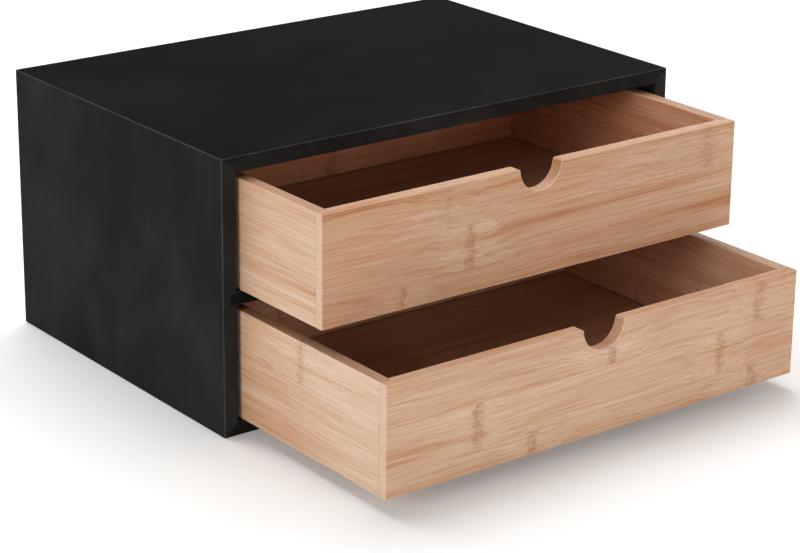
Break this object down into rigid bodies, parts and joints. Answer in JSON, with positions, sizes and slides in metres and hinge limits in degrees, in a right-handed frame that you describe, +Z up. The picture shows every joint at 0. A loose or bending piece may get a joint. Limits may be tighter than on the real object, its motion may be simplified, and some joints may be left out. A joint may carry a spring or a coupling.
{
  "type": "desktop_mini_drawers",
  "caption": "Desktop mini drawers: a mitred black lacquered cabinet with a housed divider shelf and pale bamboo drawers, each with a half-round finger notch in its front, shown partly open",
  "frame": {"origin": "centre of the cabinet's underside, the face it stands on", "axes": "+X to the right seen from the front, +Y to the back, +Z up; the drawers open toward -Y"},
  "size_m": [0.33, 0.362, 0.165],
  "materials": {
    "black_lacquer": "black satin lacquer on wood, faint grain",
    "bamboo": "pale laminated bamboo, satin clear coat",
    "joinery_wood": "plain hardwood, uncoated"
  },
  "bodies": {
    "cabinet": {"top_panel": "black_lacquer", "bottom_panel": "black_lacquer", "left_side_panel": "black_lacquer", "right_side_panel": "black_lacquer", "divider_shelf": "black_lacquer", "back_panel": "black_lacquer", "top_left_spline": "joinery_wood", "top_right_spline": "joinery_wood", "bottom_left_spline": "joinery_wood", "bottom_right_spline": "joinery_wood"},
    "upper_drawer": {"upper_drawer_front": "bamboo", "upper_drawer_left_side": "bamboo", "upper_drawer_right_side": "bamboo", "upper_drawer_back": "bamboo", "upper_drawer_bottom": "bamboo", "upper_drawer_pins": "joinery_wood"},
    "lower_drawer": {"lower_drawer_front": "bamboo", "lower_drawer_left_side": "bamboo", "lower_drawer_right_side": "bamboo", "lower_drawer_back": "bamboo", "lower_drawer_bottom": "bamboo", "lower_drawer_pins": "joinery_wood"}
  },
  "joints": [
    {"name": "upper_drawer_slide", "type": "slide", "parent": "cabinet", "child": "upper_drawer", "axis": [0, -1, 0], "range_m": [-0.077, 0.095]},
    {"name": "lower_drawer_slide", "type": "slide", "parent": "cabinet", "child": "lower_drawer", "axis": [0, -1, 0], "range_m": [-0.134, 0.038]}
  ]
}
